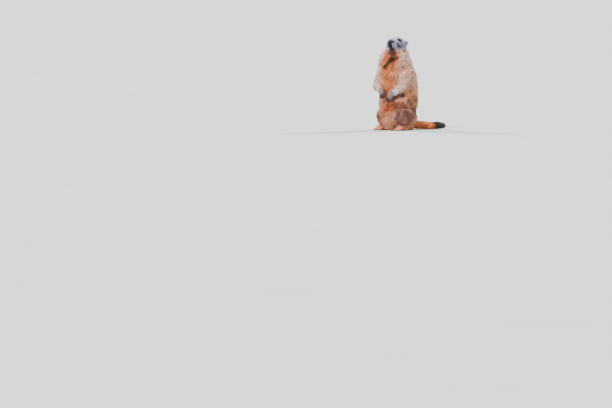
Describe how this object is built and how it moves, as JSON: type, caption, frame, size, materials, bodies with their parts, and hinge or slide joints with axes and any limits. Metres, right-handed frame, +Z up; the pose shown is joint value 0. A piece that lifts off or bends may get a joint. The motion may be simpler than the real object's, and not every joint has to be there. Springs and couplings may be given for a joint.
{
  "type": "alpine marmot model",
  "caption": "Life-size still model of an alpine marmot sitting upright on its haunches, forepaws hanging before the belly and the tail laid out on the floor.",
  "frame": {"origin": "on the floor under the body's axis, in the middle of the flat that the rump sits on", "axes": "+Z up, the animal faces -Y, and its left side is +X"},
  "size_m": [0.2558, 0.3222, 0.4753],
  "materials": {
    "coat": "dull fur, orange-brown with a grizzled grey-brown back",
    "coat_head": "dull short fur, slate grey with a pale crown",
    "coat_limb": "dull short fur, pale beige",
    "paw": "bare dark skin with horn claws",
    "tail": "dull long fur, orange-brown to a black tip",
    "eye": "wet gloss",
    "nose": "damp black skin"
  },
  "bodies": {
    "root": {"abdomen": "coat", "chest": "coat", "neck": "coat", "head": "coat_head", "ear_left": "coat_head", "ear_right": "coat_head", "eye_left": "eye", "eye_right": "eye", "nose": "nose", "upper_arm_left": "coat", "upper_arm_right": "coat", "forearm_left": "coat_limb", "forearm_right": "coat_limb", "forepaw_left": "paw", "forepaw_right": "paw", "hind_leg_left": "coat", "hind_leg_right": "coat", "hind_foot_left": "coat_limb", "hind_foot_right": "coat_limb", "tail": "tail"}
  },
  "joints": []
}
